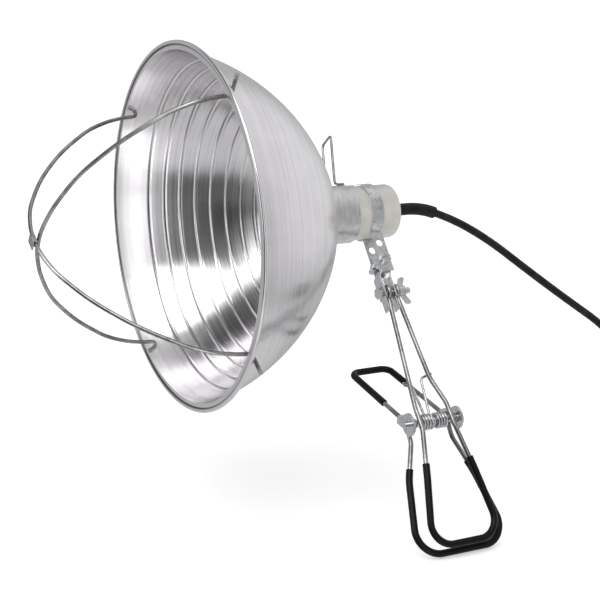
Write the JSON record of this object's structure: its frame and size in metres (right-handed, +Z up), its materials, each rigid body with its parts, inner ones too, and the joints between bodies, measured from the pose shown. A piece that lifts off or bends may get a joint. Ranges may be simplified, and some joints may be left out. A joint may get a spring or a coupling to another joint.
{
  "type": "heat lamp fixture",
  "caption": "Clamp heat lamp: spun bowl reflector with crossed wire guard, porcelain lamp holder, hang loop, cord and a spring clamp on a two-way swivel.",
  "frame": {"origin": "middle of the hang loop's top bar, the point that the lamp hangs from", "axes": "+Z up; the lamp axis runs along X and the reflector opens towards -X; -Y is the side that the clamp hangs round to"},
  "size_m": [0.6202, 0.2848, 0.3584],
  "materials": {
    "reflector_aluminium": "spun, fine lathe lines",
    "collar_aluminium": "satin",
    "bright_wire": "bright plated wire",
    "porcelain": "glazed porcelain",
    "brass": "bright",
    "fibre": "vulcanised fibre",
    "zinc_plate": "clear zinc plate",
    "spring_steel": "plated spring wire",
    "cord_rubber": "smooth black jacket",
    "tie_plastic": "soft plastic",
    "blade_brass": "nickelled brass",
    "black_vinyl": "dipped vinyl"
  },
  "bodies": {
    "head": {"reflector_bowl": "reflector_aluminium", "neck_collar": "collar_aluminium", "collar_clip": "collar_aluminium", "guard_bow_outer": "bright_wire", "guard_bow_inner": "bright_wire", "guard_clip": "bright_wire", "hang_loop": "bright_wire", "lamp_holder": "porcelain", "holder_cap": "porcelain", "cap_screws": "zinc_plate", "screw_shell": "brass", "contact_insulator": "fibre", "centre_contact": "brass", "terminal_screws": "brass", "cord_sleeve": "cord_rubber", "cord_run": "cord_rubber", "cord_tail": "cord_rubber", "cord_coil": "cord_rubber", "cord_tie": "tie_plastic", "plug_body": "cord_rubber", "plug_blades": "blade_brass", "strap": "zinc_plate", "strap_bolt": "zinc_plate", "strap_nut": "zinc_plate"},
    "swivel": {"swivel_plate_left": "zinc_plate", "swivel_plate_right": "zinc_plate", "swivel_bolt": "zinc_plate", "swivel_spacer": "zinc_plate"},
    "swivel_wing": {"wing_nut": "zinc_plate"},
    "clamp": {"arm_wire": "bright_wire", "arm_jaw_sleeve": "black_vinyl", "pivot_axle": "zinc_plate", "axle_nuts": "zinc_plate", "spring_bush": "zinc_plate", "torsion_spring_left": "spring_steel", "torsion_spring_right": "spring_steel"},
    "lever": {"lever_wire": "bright_wire", "lever_jaw_sleeve": "black_vinyl", "lever_handle_sleeve": "black_vinyl", "pivot_plate_left": "zinc_plate", "pivot_plate_right": "zinc_plate"}
  },
  "joints": [
    {"name": "swivel_tilt", "type": "hinge", "parent": "head", "child": "swivel", "pos_m": [0.0123, -0.06272, -0.08632], "axis": [0, 0.809, -0.5878], "range_deg": [-35, 40]},
    {"name": "clamp_swing", "type": "hinge", "parent": "swivel", "child": "clamp", "pos_m": [0.0123, -0.07729, -0.10639], "axis": [1, 0, 0], "range_deg": [-60, 60]},
    {"name": "lever_squeeze", "type": "hinge", "parent": "clamp", "child": "lever", "pos_m": [0.0123, -0.13825, -0.19028], "axis": [1, 0, 0], "range_deg": [0, 30], "stiffness_Nm_per_rad": 1.2, "springref_deg": -34.38, "deforming": ["torsion_spring_left", "torsion_spring_right"]},
    {"name": "wing_turn", "type": "hinge", "parent": "swivel", "child": "swivel_wing", "pos_m": [0.0213, -0.07729, -0.10639], "axis": [1, 0, 0], "continuous": true}
  ]
}
